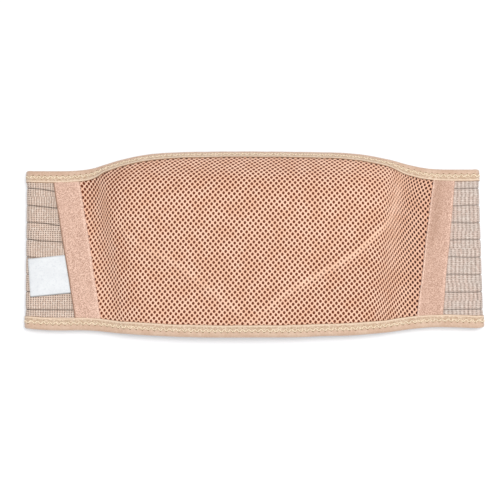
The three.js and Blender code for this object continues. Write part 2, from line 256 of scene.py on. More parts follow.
def crease_drop(arm, x, y):
    """Depth of the step in the panel below one arm of the crease, less its sharp fold."""
    step = CREASE_DEPTH * smooth(below_arm(arm, x, y) / CREASE_WIDTH + 0.5)
    return through(arm, x / HALF, 2) * step - RIDGE * on_ridge(arm, x, y)


def from_strips(x, y):
    """Share of the way up, and distances from the left and from the right strip."""
    across = (y - bottom_edge(x)) / (top_edge(x) - bottom_edge(x))
    return across, x - strip_line(LEFT_SEAM, 1, across), strip_line(RIGHT_SEAM, 1, across) - x


def front_height(x, y):
    """Height of the middle of the front's cloth over the plan."""
    across, left_away, right_away = from_strips(x, y)
    shoulders = (
        through(LEFT_SHOULDER, left_away / PANEL_HEIGHT)
        * through(RIGHT_SHOULDER, right_away / PANEL_HEIGHT)
    )
    cup = CUP_DEPTH * through(CUP_ACROSS, across)
    creases = np.maximum(crease_drop(LEFT_ARM, x, y), crease_drop(RIGHT_ARM, x, y))
    return FRONT_Z + shoulders * (cup - creases)


def slopes_of(height, x, y):
    """Slopes along X and along Y of a height over the plan."""
    step = SLOPE_STEP
    return (
        (height(x + step, y) - height(x - step, y)) / (2 * step),
        (height(x, y + step) - height(x, y - step)) / (2 * step),
    )


def ramp_rise(run):
    return LAP_RISE * smooth((run - RAMP_START) / RAMP_LENGTH)


def lean(along, y):
    """Shift along X of the left end, whose fold leans outwards at its top."""
    reach = -along
    onset, fading = 150 * MM, 80 * MM
    beyond = 1 - smooth((reach - FOLD_X - FOLD_LENGTH) / fading)
    near = smooth((reach - onset) / (FOLD_X - onset)) * beyond
    return near * lerp(LEAN_IN, -LEAN_OUT, (y - WING_BOTTOM) / WING_HEIGHT)


def belt_frame(along, y):
    """Points and outward directions on the middle of the cloth.

    Along is X on the front. Beyond a fold's start it runs on round the fold and along the back.
    """
    along, y = np.broadcast_arrays(along, y)
    side = np.sign(along)
    front_x = np.clip(along, -FOLD_X, FOLD_X)
    slope_x, slope_y = slopes_of(front_height, front_x, y)
    front = np.stack([front_x, y, front_height(front_x, y)], -1)
    front_out = np.stack([-slope_x, -slope_y, np.ones_like(y)], -1)

    beyond = np.abs(along) - FOLD_X
    turn = np.clip(beyond / FOLD_RADIUS, 0, math.pi)
    fold_out = np.stack([side * np.sin(turn), 0 * turn, np.cos(turn)], -1)
    centre = np.stack(
        [side * FOLD_X, y + BACK_SHIFT * turn / math.pi, np.full_like(y, FRONT_Z - FOLD_RADIUS)], -1
    )
    fold = centre + fold_out * FOLD_RADIUS

    run = beyond - FOLD_LENGTH
    lifted = side > 0
    climb = (ramp_rise(run + SLOPE_STEP) - ramp_rise(run - SLOPE_STEP)) / (2 * SLOPE_STEP)
    slope = np.where(lifted, climb, 0)
    back = np.stack(
        [side * (FOLD_X - run), y + BACK_SHIFT, BACK_Z + np.where(lifted, ramp_rise(run), 0)], -1
    )
    back_out = np.stack([-side * slope, 0 * y, -np.ones_like(y)], -1)

    on_front, on_fold = (beyond <= 0)[..., None], (run <= 0)[..., None]
    point = np.where(on_front, front, np.where(on_fold, fold, back))
    point[..., 0] += lean(along, y)
    out = np.where(on_front, front_out, np.where(on_fold, fold_out, back_out))
    return point, out / np.linalg.norm(out, axis=-1, keepdims=True)


def offset_points(along, y, height):
    point, out = belt_frame(along, y)
    return point + out * np.broadcast_to(height, y.shape)[..., None]


def cross_lines(line_x, rows):
    """X and Y on lines across the belt, from its bottom edge to its top edge.

    line_x gives each line's X for shares of the way up, and rows gives, for the lines' lengths,
    distances along the cloth from the bottom edge.
    """
    shares = np.linspace(0, 1, MEASURE_STEPS + 1)

    def plan(share):
        x = line_x(share)
        edge_x = np.clip(x, -FOLD_X, FOLD_X)
        return x, lerp(bottom_edge(edge_x), top_edge(edge_x), share)

    point, _ = belt_frame(*plan(shares[None, :]))
    run = np.cumsum(np.linalg.norm(np.diff(point, axis=1), axis=2), axis=1)
    run = np.pad(run, ((0, 0), (1, 0)))
    wanted = rows(run[:, -1:])
    reached = np.array([np.interp(row, line, shares) for row, line in zip(wanted, run)])
    x, y = plan(reached)
    return x, y, wanted, run[:, -1:]


def wander(at, seed, wave):
    """A slow irregular wave from -1 to 1 along a length."""
    rng = np.random.default_rng(seed)
    total = 0
    for step in range(1, 4):
        total = total + np.sin(2 * math.pi * (at / wave * step * 0.77 + rng.random())) / step
    return total / 1.83


# Meshes

def add_object(name, data):
    piece = bpy.data.objects.new(name, data)
    bpy.context.scene.collection.objects.link(piece)
    return piece


def new_mesh(name, points, faces, material, attributes):
    """A smooth piece that carries named vectors, one for each point."""
    mesh = bpy.data.meshes.new(name)
    mesh.from_pydata(np.asarray(points).reshape(-1, 3).tolist(), [], faces.tolist())
    for key, value in attributes.items():
        layer = mesh.attributes.new(key, "FLOAT_VECTOR", "POINT")
        layer.data.foreach_set("vector", np.asarray(value, np.float32).reshape(-1))
    mesh.materials.append(material)
    mesh.polygons.foreach_set("use_smooth", np.ones(len(mesh.polygons), bool))
    return add_object(name, mesh)


def piece_of(name, body, material):
    """The piece that a bmesh holds. The bmesh is used up."""
    mesh = bpy.data.meshes.new(name)
    body.to_mesh(mesh)
    body.free()
    mesh.materials.append(material)
    return add_object(name, mesh)


def grid_faces(lines, rows):
    """Squares of a grid of points, line by line."""
    index = np.arange(lines * rows).reshape(lines, rows)
    corners = [index[:-1, :-1], index[1:, :-1], index[1:, 1:], index[:-1, 1:]]
    return np.stack(corners, -1).reshape(-1, 4)


def wall_faces(lines, rows):
    """Squares of a closed wall: an outer grid, an inner grid after it, and the rim between them."""
    outer = np.arange(lines * rows).reshape(lines, rows)
    inner = outer + lines * rows
    around = np.concatenate([outer[:, 0], outer[-1, 1:], outer[-2::-1, -1], outer[0, -2:0:-1]])
    beside = around + lines * rows
    rim = np.stack([around, np.roll(around, -1), np.roll(beside, -1), beside], -1)
    back = grid_faces(lines, rows)[:, ::-1] + inner[0, 0]
    return np.concatenate([grid_faces(lines, rows), back, rim[:, ::-1]])


def turn_outwards(piece):
    body = bmesh.new()
    body.from_mesh(piece.data)
    bmesh.ops.recalc_face_normals(body, faces=body.faces)
    body.to_mesh(piece.data)
    body.free()


def wall_piece(name, along, y, inner, outer, material, cloth, sharp=50):
    """A closed wall over lines and rows, between two distances from the cloth's middle."""
    points = np.stack([offset_points(along, y, outer), offset_points(along, y, inner)])
    attributes = {"cloth": np.stack([cloth, cloth])}
    piece = new_mesh(name, points, wall_faces(*along.shape), material, attributes)
    turn_outwards(piece)
    piece.data.set_sharp_from_angle(angle=math.radians(sharp))
    return piece


# Node trees

class Tree:
    """Adds nodes to a node tree. An input takes a value, or the socket that feeds it."""

    def __init__(self, tree):
        self.tree = tree

    def add(self, kind, inputs=(), **settings):
        node = self.tree.nodes.new(kind)
        for key, value in settings.items():
            setattr(node, key, value)
        for key, value in dict(inputs).items():
            if isinstance(value, bpy.types.NodeSocket):
                self.tree.links.new(value, node.inputs[key])
            else:
                node.inputs[key].default_value = value
        return node

    def output(self, kind, inputs=(), **settings):
        """The first output of a new node."""
        return self.add(kind, inputs, **settings).outputs[0]

    def math(self, operation, *values, clamp=False):
        return self.output("ShaderNodeMath", enumerate(values), operation=operation, use_clamp=clamp)

    def plus(self, first, second):
        return self.math("ADD", first, second)

    def minus(self, first, second):
        return self.math("SUBTRACT", first, second)

    def times(self, first, second, clamp=False):
        return self.math("MULTIPLY", first, second, clamp=clamp)

    def divided(self, first, second):
        return self.math("DIVIDE", first, second)

    def vector(self, x=0.0, y=0.0, z=0.0):
        return self.output("ShaderNodeCombineXYZ", {"X": x, "Y": y, "Z": z})

    def vectors(self, operation, inputs):
        return self.output("ShaderNodeVectorMath", inputs, operation=operation)

    def split(self, vector):
        return self.add("ShaderNodeSeparateXYZ", {"Vector": vector}).outputs


class Pattern(Tree):
    """A geometry tree that lays a flat pattern on the cloth its modifier's object carries.

    The cloth holds two vectors at each point: cloth, its place on the flat cloth, and out, the
    direction away from it. The pattern is drawn flat at the same places, with Z as its height.
    Nothing goes below the floor, which presses the stitches flat there.
    """

    def __init__(self, name, sizes):
        super().__init__(bpy.data.node_groups.new(name, "GeometryNodeTree"))
        face = self.tree.interface
        face.new_socket("Cloth", in_out="INPUT", socket_type="NodeSocketGeometry")
        face.new_socket("Pattern", in_out="OUTPUT", socket_type="NodeSocketGeometry")
        self.inputs = {}
        for size, value in sizes.items():
            kind = "NodeSocketInt" if isinstance(value, int) else "NodeSocketFloat"
            socket = face.new_socket(size, in_out="INPUT", socket_type=kind)
            self.inputs[size] = (socket.identifier, value)
        self.sizes = self.add("NodeGroupInput").outputs

    def position(self):
        return self.output("GeometryNodeInputPosition")

    def named(self, name):
        inputs = {"Name": name}
        return self.output("GeometryNodeInputNamedAttribute", inputs, data_type="FLOAT_VECTOR")

    def place(self, geometry, position):
        return self.output("GeometryNodeSetPosition", {"Geometry": geometry, "Position": position})

    def painted(self, geometry, material):
        return self.output("GeometryNodeSetMaterial", {"Geometry": geometry, "Material": material})

    def moved(self, geometry, **changes):
        return self.output("GeometryNodeTransform", {"Geometry": geometry, **changes})

    def joined(self, *parts):
        node = self.add("GeometryNodeJoinGeometry")
        for part in parts:
            self.tree.links.new(part, node.inputs[0])
        return node.outputs[0]

    def stored(self, geometry, name, value):
        inputs = {"Geometry": geometry, "Name": name, "Value": value}
        return self.output(
            "GeometryNodeStoreNamedAttribute", inputs, data_type="FLOAT_VECTOR", domain="POINT"
        )

    def instances(self, points, instance, turn=(0, 0, 0), scale=(1, 1, 1)):
        placed = self.output("GeometryNodeInstanceOnPoints", {
            "Points": points, "Instance": instance, "Rotation": turn, "Scale": scale,
        })
        return self.output("GeometryNodeRealizeInstances", {"Geometry": placed})

    def wrap(self, pattern):
        """Wraps the pattern and removes what falls off the cloth's edges."""
        flat = self.position()
        stored = self.stored(pattern, "cloth", flat)
        point, valid = self.sampled(self.position(), flat)
        out, _ = self.sampled(self.named("out"), flat)
        lifted = self.vectors("SCALE", {0: out, "Scale": self.split(flat)["Z"]})
        raised = self.vectors("ADD", {0: point, 1: lifted})
        above_floor = self.vectors("MAXIMUM", {0: raised, 1: (-1.0, -1.0, 0.0)})
        missing = self.output("FunctionNodeBooleanMath", {0: valid}, operation="NOT")
        trimmed = self.output(
            "GeometryNodeDeleteGeometry", {"Geometry": stored, "Selection": missing}, domain="POINT"
        )
        return self.place(trimmed, above_floor)

    def sampled(self, value, flat):
        """A value of the cloth, and whether there is cloth, at the pattern's places on it."""
        inputs = {
            "Mesh": self.sizes["Cloth"], "Value": value,
            "UV Map": self.named("cloth"), "Sample UV": flat,
        }
        return self.add("GeometryNodeSampleUVSurface", inputs, data_type="FLOAT_VECTOR").outputs

    def finish(self, pattern):
        self.add("NodeGroupOutput", {0: pattern})

    def lay_on(self, carrier, name):
        """The pattern on a carrier cloth, as a plain piece. The carrier is used up."""
        modifier = carrier.modifiers.new(name, "NODES")
        modifier.node_group = self.tree
        for identifier, value in self.inputs.values():
            modifier[identifier] = value
        evaluated = carrier.evaluated_get(bpy.context.evaluated_depsgraph_get())
        mesh = bpy.data.meshes.new_from_object(evaluated)
        mesh.name = name
        carrier.modifiers.remove(modifier)
        bpy.data.objects.remove(carrier)
        return add_object(name, mesh)


def lattice_pattern(columns, rows, material):
    """The open face of the spacer mesh: diamonds that share their edges, each with a hole."""
    tree = Pattern("mesh_lattice", {
        "Hole Pitch": HOLE_PITCH, "Row Pitch": ROW_PITCH, "Hole Width": HOLE_WIDTH,
        "Hole Height": HOLE_HEIGHT, "Round": FACE_ROUND, "Depth": FACE_DEPTH, "Turn": LATTICE_TURN,
        "Pinch": PINCH, "Columns": columns, "Rows": rows, "Sides": 8,
    })
    size, plus, minus, times = tree.sizes, tree.plus, tree.minus, tree.times
    sewn_gap = 0.02 * MM  # under which the corners of neighbouring diamonds become one

    # One diamond, from a flat grid whose X becomes the angle and whose Y the ring, inwards
    rings = 3
    flat = tree.output("GeometryNodeMeshGrid", {
        "Size X": 1.0, "Size Y": 1.0, "Vertices X": plus(size["Sides"], 1.0), "Vertices Y": rings,
    })
    place = tree.split(tree.position())
    angle = times(plus(place["X"], 0.5), 2 * math.pi)
    ring = times(plus(place["Y"], 0.5), rings - 1)
    cosine, sine = tree.math("COSINE", angle), tree.math("SINE", angle)
    reach = plus(tree.math("ABSOLUTE", cosine), tree.math("ABSOLUTE", sine))
    inwards = tree.math("MINIMUM", ring, 1.0)
    below = tree.math("MAXIMUM", minus(ring, 1.0), 0.0)

    def spread(direction, pitch, share, hole):
        """One coordinate, from the diamond's edge to the rim of its hole."""
        edge = tree.divided(times(direction, times(pitch, share)), reach)
        rim = times(direction, times(hole, 0.5))
        return plus(edge, times(inwards, minus(rim, edge)))

    fall = plus(times(inwards, size["Round"]), times(below, minus(size["Depth"], size["Round"])))
    marked = tree.stored(flat, "rim", tree.vector(inwards))
    diamond = tree.place(marked, tree.vector(
        spread(cosine, size["Hole Pitch"], 0.5, size["Hole Width"]),
        spread(sine, size["Row Pitch"], 1.0, size["Hole Height"]),
        times(fall, -1.0),
    ))

    # Two square grids of places, the second half a pitch off, make the staggered rows
    places = tree.output("GeometryNodeMeshGrid", {
        "Size X": times(size["Hole Pitch"], minus(size["Columns"], 1.0)),
        "Size Y": times(times(size["Row Pitch"], minus(size["Rows"], 1.0)), 2.0),
        "Vertices X": size["Columns"], "Vertices Y": size["Rows"],
    })
    half_pitch = tree.vector(times(size["Hole Pitch"], 0.5), size["Row Pitch"])
    turn = tree.vector(z=size["Turn"])
    rows_of_places = tree.joined(places, tree.moved(places, Translation=half_pitch))
    centres = tree.stored(tree.moved(rows_of_places, Rotation=turn), "centre", tree.position())
    cells = tree.instances(centres, diamond, turn)

    # On the folds each hole's rim moves towards its centre
    pinch, _ = tree.sampled(tree.named("pinch"), tree.named("centre"))
    # The same share gives the face finish its painted highlight on the folds
    cells = tree.stored(cells, "fold", pinch)
    shut = times(tree.split(tree.named("fold"))["X"], size["Pinch"])
    here = tree.position()
    way = tree.vectors("SUBTRACT", {0: tree.named("centre"), 1: here})
    rim_share = tree.split(tree.named("rim"))["X"]
    move = tree.vectors("SCALE", {0: way, "Scale": times(shut, rim_share)})
    pressed = tree.place(cells, tree.vectors("ADD", {0: here, 1: move}))
    sewn = tree.output("GeometryNodeMergeByDistance", {"Geometry": pressed, "Distance": sewn_gap})
    smooth_face = tree.output("GeometryNodeSetShadeSmooth", {"Geometry": tree.wrap(sewn)})
    tree.finish(tree.painted(smooth_face, material))
    return tree


def cover_stitch_pattern(length, thread, needle):
    """A zigzag thread between two rows of needle holes, from 0 along the given length."""
    tree = Pattern("cover_stitch", {
        "Pitch": STITCH_PITCH, "Outer Row": STITCH_OUTER, "Inner Row": STITCH_INNER,
        "Thread": THREAD, "Hole": NEEDLE_HOLE, "Turns": int(2 * length / STITCH_PITCH),
    })
    size, plus, minus, times = tree.sizes, tree.plus, tree.minus, tree.times
    half_pitch = times(size["Pitch"], 0.5)
    line = tree.output("GeometryNodeMeshLine", {
        "Count": size["Turns"], "Offset": tree.vector(half_pitch),
    })
    index = tree.output("GeometryNodeInputIndex")
    odd = tree.math("MODULO", index, 2.0)
    row = plus(size["Outer Row"], times(odd, minus(size["Inner Row"], size["Outer Row"])))
    zigzag = tree.place(line, tree.vector(times(index, half_pitch), row))

    # The thread dips into the cloth at each hole
    curve = tree.output("GeometryNodeMeshToCurve", {"Mesh": zigzag})
    fine = tree.output(
        "GeometryNodeResampleCurve", {"Curve": curve, "Length": 1.1 * MM}, mode="LENGTH"
    )
    at = tree.split(tree.position())
    phase = tree.math("FRACT", tree.divided(at["X"], half_pitch))
    lift = times(size["Thread"], tree.math("SINE", times(phase, math.pi)))
    dipped = tree.place(fine, tree.vector(
        at["X"], at["Y"], minus(times(lift, 0.8), times(size["Thread"], 0.4)),
    ))
    round_thread = tree.output("GeometryNodeCurvePrimitiveCircle", {
        "Resolution": 6, "Radius": times(size["Thread"], 0.5),
    })
    tube = tree.output("GeometryNodeCurveToMesh", {
        "Curve": dipped, "Profile Curve": round_thread, "Fill Caps": True,
    })

    # The needle holes are slanting ovals of painted shade, smaller in the inner row
    disc = tree.output(
        "GeometryNodeMeshCircle", {"Vertices": 8, "Radius": size["Hole"]}, fill_type="NGON"
    )
    oval = tree.moved(
        disc, Translation=(0, 0, 0.08 * MM), Rotation=(0, 0, -0.5), Scale=(1.5, 0.8, 1)
    )
    finer = minus(1.0, times(odd, 0.4))
    holes = tree.instances(zigzag, oval, scale=tree.vector(finer, finer, 1.0))
    tree.finish(tree.joined(
        tree.painted(tree.wrap(tube), thread), tree.painted(tree.wrap(holes), needle),
    ))
    return tree


# Finishes

def paint(red, green, blue):
    """A colour as a screen shows it, 0 to 255, in Blender's linear light."""
    shares = [value / 255 for value in (red, green, blue)]
    return (*(s / 12.92 if s <= 0.04045 else ((s + 0.055) / 1.055) ** 2.4 for s in shares), 1.0)


class Finish(Tree):
    """A material with one main shader, whose colour is laid on in coats."""

    def __init__(self, name, roughness, sheen=0.0, sheen_roughness=0.5):
        self.material = bpy.data.materials.new(name)
        self.material.use_nodes = True
        super().__init__(self.material.node_tree)
        self.shader = self.tree.nodes["Principled BSDF"].inputs
        self.shader["Roughness"].default_value = roughness
        self.shader["Specular IOR Level"].default_value = 0.25
        self.shader["Sheen Weight"].default_value = sheen
        self.shader["Sheen Roughness"].default_value = sheen_roughness

    def cloth(self):
        """Places along X and along Y on the flat cloth, and the cloth's third value."""
        return self.split(self.add("ShaderNodeAttribute", attribute_name="cloth").outputs["Vector"])

    def noise(self, size, detail=2.0):
        """Noise from 0 to 1 over the piece, with lumps of about the given size."""
        place = self.add("ShaderNodeTexCoord").outputs["Object"]
        inputs = {"Vector": place, "Scale": 1 / size, "Detail": detail}
        return self.output("ShaderNodeTexNoise", inputs)

    def ramp(self, value, low, high, to_low=0.0, to_high=1.0):
        inputs = {
            "Value": value, "From Min": low, "From Max": high, "To Min": to_low, "To Max": to_high,
        }
        return self.output("ShaderNodeMapRange", inputs, interpolation_type="SMOOTHSTEP")

    def waves(self, value, pitch):
        """A wave from 0 to 1 over a length."""
        turn = self.times(value, 2 * math.pi / pitch)
        return self.math("MULTIPLY_ADD", self.math("SINE", turn), 0.5, 0.5)

    def mix(self, share, first, second):
        inputs = {0: share, 6: first, 7: second}
        return self.add("ShaderNodeMix", inputs, data_type="RGBA").outputs[2]

    def ground(self, share, first, second):
        """The first coat, between two colours."""
        self.color = self.mix(share, paint(*first), paint(*second))

    def coat(self, share, color):
        """A colour over the coats before it, as far as the share says."""
        self.color = self.mix(share, self.color, paint(*color))

    def done(self, height, depth, roughness=None):
        self.tree.links.new(self.color, self.shader["Base Color"])
        bump = self.add("ShaderNodeBump", {"Height": height, "Distance": depth, "Strength": 1.0})
        self.tree.links.new(bump.outputs[0], self.shader["Normal"])
        if roughness is not None:
            self.tree.links.new(roughness, self.shader["Roughness"])
        return self.material


def face_knit():
    """The mesh's bright strands, with painted shade in the holes and a painted highlight on the
    folds.
    """
    made = Finish("face_knit", roughness=0.7, sheen=0.15)
    x, y, depth = made.cloth()
    loop = 0.7 * MM
    loops = made.times(made.waves(made.plus(x, y), loop), made.waves(made.minus(x, y), loop))
    worn = made.noise(14 * MM)
    fold = made.add("ShaderNodeAttribute", attribute_name="fold").outputs["Fac"]
    deep = made.ramp(depth, -0.3 * MM, -0.7 * MM)
    made.ground(made.ramp(worn, 0.3, 0.7), (240, 192, 162), (248, 205, 178))
    made.coat(made.times(loops, 0.25), (222, 166, 134))
    # Painted highlight on the crease's folds, where the holes are pressed shut
    made.coat(made.times(fold, 0.1, clamp=True), (255, 226, 204))
    # Painted shade beside the right strip
    made.coat(made.ramp(x, 155 * MM, 190 * MM, 0.0, 0.3), (206, 150, 122))
    # Painted shade down in the holes
    made.coat(made.times(deep, 0.7), (126, 66, 42))
    return made.done(loops, 0.12 * MM, made.ramp(worn, 0.2, 0.8, 0.62, 0.78))


def core_knit(name, dark, light, by_strip):
    """The spacer mesh's inner side: fine upright threads, with painted shade by the right strip."""
    made = Finish(name, roughness=0.9, sheen=0.1)
    x, y, pinch = made.cloth()
    knit = made.times(made.waves(x, 1.3 * MM), made.waves(y, 1 * MM))
    worn = made.noise(8 * MM)
    made.ground(made.times(made.plus(knit, worn), 0.5), dark, light)
    # Painted highlight where the holes are pressed shut on the crease's folds
    made.coat(made.times(pinch, 0.2, clamp=True), (226, 176, 146))
    # Painted shade beside the right strip
    made.coat(made.ramp(x, 150 * MM, 185 * MM, 0.0, 0.8), by_strip)
    return made.done(knit, 0.2 * MM)


def ribbed_elastic(name, base, shade, painted_groove_shade, dot_pitch, fine, columns, tight_share):
    """Woven elastic with rows of small holes, darker columns, and painted shade in its ribs' grooves.

    Fine and columns each hold a pitch and how dark the holes are there. The tight share is that of
    the columns drawn tight into a line.
    """
    made = Finish(name, roughness=0.85, sheen=0.2)
    x, y, groove = made.cloth()
    bend = made.times(made.minus(made.noise(20 * MM), 0.5), 2 * MM)
    x = made.plus(x, bend)
    (fine_pitch, fine_share), (column_pitch, column_share) = fine, columns

    def off_middle(value, pitch):
        share = made.math("FRACT", made.divided(value, pitch))
        return made.times(made.math("ABSOLUTE", made.minus(share, 0.5)), pitch)

    def dotted(off_column, share):
        off_dot = off_middle(y, dot_pitch)
        squares = made.plus(made.times(off_column, off_column), made.times(off_dot, off_dot))
        return made.times(made.ramp(made.math("SQRT", squares), 1 * MM, 0.4 * MM), share)

    def chance(across, up):
        inputs = {"Vector": made.vector(across, up)}
        return made.add("ShaderNodeTexWhiteNoise", inputs).outputs["Value"]

    # Columns sit elsewhere over each rib, and some are drawn tight there
    rib = made.math("FLOOR", made.divided(made.plus(y, WING_DROP), RIB_PITCH))
    placed = made.plus(x, made.times(chance(0.0, rib), column_pitch))
    off_column = off_middle(placed, column_pitch)
    fine_dots = dotted(off_middle(placed, fine_pitch), fine_share)
    dots = made.math("MAXIMUM", fine_dots, dotted(off_column, column_share))
    cell = made.math("FLOOR", made.divided(placed, column_pitch))
    tight = made.ramp(chance(cell, rib), 1 - tight_share, 1.02 - tight_share)
    column = made.times(made.ramp(off_column, 0.7 * MM, 0.2 * MM), tight)

    weave = made.times(made.waves(x, 1.3 * MM), made.waves(y, 1.9 * MM))
    grain = made.noise(1.6 * MM)
    cloudy = made.noise(16 * MM, 3.0)
    made.ground(made.ramp(cloudy, 0.35, 0.65), base, shade)
    made.coat(made.ramp(grain, 0.45, 0.7, 0.0, 0.5), (240, 228, 216))
    made.coat(made.ramp(grain, 0.5, 0.3, 0.0, 0.4), (176, 148, 130))
    made.coat(made.times(column, 0.35), (128, 114, 104))
    made.coat(dots, (124, 106, 94))
    # Painted shade in the grooves between the ribs
    made.coat(made.times(groove, 0.75, clamp=True), painted_groove_shade)
    sunk = made.plus(dots, made.times(column, 0.3))
    return made.done(made.minus(made.times(weave, 0.5), sunk), 0.25 * MM)


def velour():
    """Brushed loops. The cloth's third value lays painted shade below 0 and brightens above it."""
    made = Finish("loop_velour", roughness=0.95, sheen=0.5, sheen_roughness=0.6)
    fuzz = made.noise(0.9 * MM, 4.0)
    brushed = made.noise(9 * MM)
    tint = made.cloth()["Z"]
    made.ground(made.ramp(fuzz, 0.36, 0.64), (174, 136, 118), (244, 207, 187))
    made.coat(made.ramp(brushed, 0.35, 0.7, 0.0, 0.3), (200, 162, 142))
    # Painted shade: the band by the bead, the line by the wing, and the strip's own share
    made.coat(made.times(tint, -0.6, clamp=True), (150, 112, 88))
    made.coat(made.times(tint, 1.0, clamp=True), (242, 214, 192))
    return made.done(made.plus(fuzz, made.times(brushed, 0.5)), 0.25 * MM)


def binding_tape():
    """Folded satin tape: plain and tan over the folded edge, paler between its stitches and lip."""
    made = Finish("binding_tape", roughness=0.6, sheen=0.25)
    x, y, _ = made.cloth()
    ribs = made.waves(x, 0.8 * MM)
    worn = made.noise(12 * MM, 3.0)
    grain = made.noise(1.7 * MM)
    stitched = made.ramp(y, STITCH_OUTER - 0.8 * MM, STITCH_OUTER + 1 * MM)
    rough = made.math("MULTIPLY_ADD", stitched, 0.7, 0.3)
    lip = made.ramp(y, TAPE_WIDTH - 2.4 * MM, TAPE_WIDTH - 1.4 * MM)
    rim = made.ramp(y, TAPE_WIDTH - 0.75 * MM, TAPE_WIDTH - 0.4 * MM)
    made.ground(made.ramp(worn, 0.3, 0.7), (192, 160, 137), (200, 171, 149))
    made.coat(stitched, (196, 170, 145))
    made.coat(made.times(rough, made.ramp(grain, 0.52, 0.3, 0.0, 0.6)), (172, 138, 110))
    made.coat(made.times(rough, made.ramp(grain, 0.5, 0.68, 0.0, 0.5)), (242, 220, 197))
    made.coat(made.times(lip, 0.7), (234, 210, 186))
    # Painted shadow line along the lip's inner edge
    made.coat(made.times(rim, 0.8), (150, 112, 82))
    height = made.plus(made.times(ribs, rough), grain)
    return made.done(height, 0.12 * MM, made.ramp(y, 3 * MM, 7 * MM, 0.5, 0.72))


def thread_finish(name, bright, dark):
    made = Finish(name, roughness=0.55, sheen=0.2)
    twist = made.waves(made.cloth()["X"], 0.45 * MM)
    made.ground(made.times(twist, 0.4), bright, dark)
    return made.done(twist, 0.08 * MM)


def woven_label():
    """White satin. Its cloth's third value darkens it with painted shade towards the hems."""
    made = Finish("woven_label", roughness=0.5, sheen=0.1)
    x, y, edge = made.cloth()
    ribs = made.waves(y, 0.6 * MM)
    warp = made.waves(x, 0.5 * MM)
    cloudy = made.noise(10 * MM)
    grain = made.noise(1.5 * MM)
    made.ground(made.ramp(cloudy, 0.3, 0.7), (220, 222, 224), (228, 230, 231))
    made.coat(made.ramp(grain, 0.5, 0.3, 0.0, 0.35), (196, 200, 206))
    # Painted shade towards the hems
    made.coat(made.times(edge, 0.7, clamp=True), (120, 116, 112))
    return made.done(made.plus(ribs, made.times(warp, 0.4)), 0.1 * MM)


def hook_tape():
    made = Finish("hook_tape", roughness=0.6)
    x, y, _ = made.cloth()
    rows = made.times(made.waves(x, 2 * MM), made.waves(y, 2 * MM))
    made.ground(rows, (206, 184, 164), (226, 208, 190))
    return made.done(rows, 0.3 * MM)


def floor_finish():
    made = Finish("pale_floor", roughness=0.9)
    cloudy = made.noise(0.4)
    made.color = made.mix(cloudy, (0.6, 0.61, 0.625, 1.0), (0.61, 0.62, 0.635, 1.0))
    made.shader["Emission Color"].default_value = (0.97, 0.98, 1.0, 1.0)
    made.shader["Emission Strength"].default_value = 0.33
    return made.done(cloudy, 0.01 * MM)


# Pieces

def keep(piece, slot, *nodes):
    """A finished piece rides on the belt's one body and stands for the nodes that it replaces."""
    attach(piece, "root")
    if nodes:
        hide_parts(*nodes)
    return piece


def inset_rows(inset, count):
    """Even rows across the belt, from an inset at one edge to the same inset at the other."""
    return lambda length: lerp(inset, length - inset, np.linspace(0, 1, count)[None, :])


def panel_grid(columns, rows, place):
    """Lines across the panel, from a place on the left strip to the same place on the right."""
    shares = np.linspace(0, 1, columns)[:, None]

    def line_x(share):
        left, right = (strip_line(seam, place, share) for seam in (LEFT_SEAM, RIGHT_SEAM))
        return lerp(left, right, shares)

    return cross_lines(line_x, rows)


def gather(x, y, low, high):
    """A share of the gatherings: their low column at the bottom edge, their high one at the top."""
    across, left_away, right_away = from_strips(x, y)
    return sum(
        lerp(row[low], row[high], across) * hump(away - row["place"], row["width"])
        for away, row in ((left_away, LEFT_GATHER), (right_away, RIGHT_GATHER))
    )


def laid_lengths(x, y):
    """Lengths along the cloth from its middle lines: along X at a constant Y, and along Y.

    Where the mesh is drawn together, there is more of it along X and its rows turn.
    """
    u, v = np.zeros_like(x), np.zeros_like(y)
    for step in range(LAID_STEPS):
        share = (step + 0.5) / LAID_STEPS
        slope_x, _ = slopes_of(front_height, x * share, y)
        _, slope_y = slopes_of(front_height, x, y * share)
        extra = gather(x * share, y, "extra", "extra")
        u += np.hypot(1, slope_x) * (1 + extra) * x / LAID_STEPS
        v += np.hypot(1, slope_y) * y / LAID_STEPS + SHEAR * extra * x / LAID_STEPS
    return u, v


def pinched(x, y):
    """How far the holes are pressed shut, on the folds of the crease, or pulled open, below 0."""
    across, _, right_away = from_strips(x, y)
    shut = np.clip(on_ridge(LEFT_ARM, x, y) + on_ridge(RIGHT_ARM, x, y), 0, 1)
    away = below_arm(RIGHT_ARM, x, y) / CREASE_WIDTH
    by_arm = through(RIGHT_ARM, x / HALF, 2) * (smooth(away) + hump(away + ARM_BAND, BAND_WIDTH))
    top = smooth((across - TOP_ONSET) / TOP_BLEND) * smooth(right_away / TOP_FADING)
    pulled = gather(x, y, "open_bottom", "open_top") + TOP_OPEN * top + ARM_OPEN * by_arm
    return shut - WIDENED * np.clip(pulled, 0, 1) * (1 - shut)


def wall_half(x, y, from_bottom, length):
    """Half the panel's wall: pressed thin under the tapes and strips, full between them."""
    press = 4 * MM
    _, left_away, right_away = from_strips(x, y)
    by_tape = smooth((np.minimum(from_bottom, length - from_bottom) - TAPE_WIDTH) / press)
    by_strip = smooth(np.minimum(left_away, right_away) / press)
    return WING_HALF + (PANEL_WALL - WING_WALL) / 2 * by_tape * by_strip


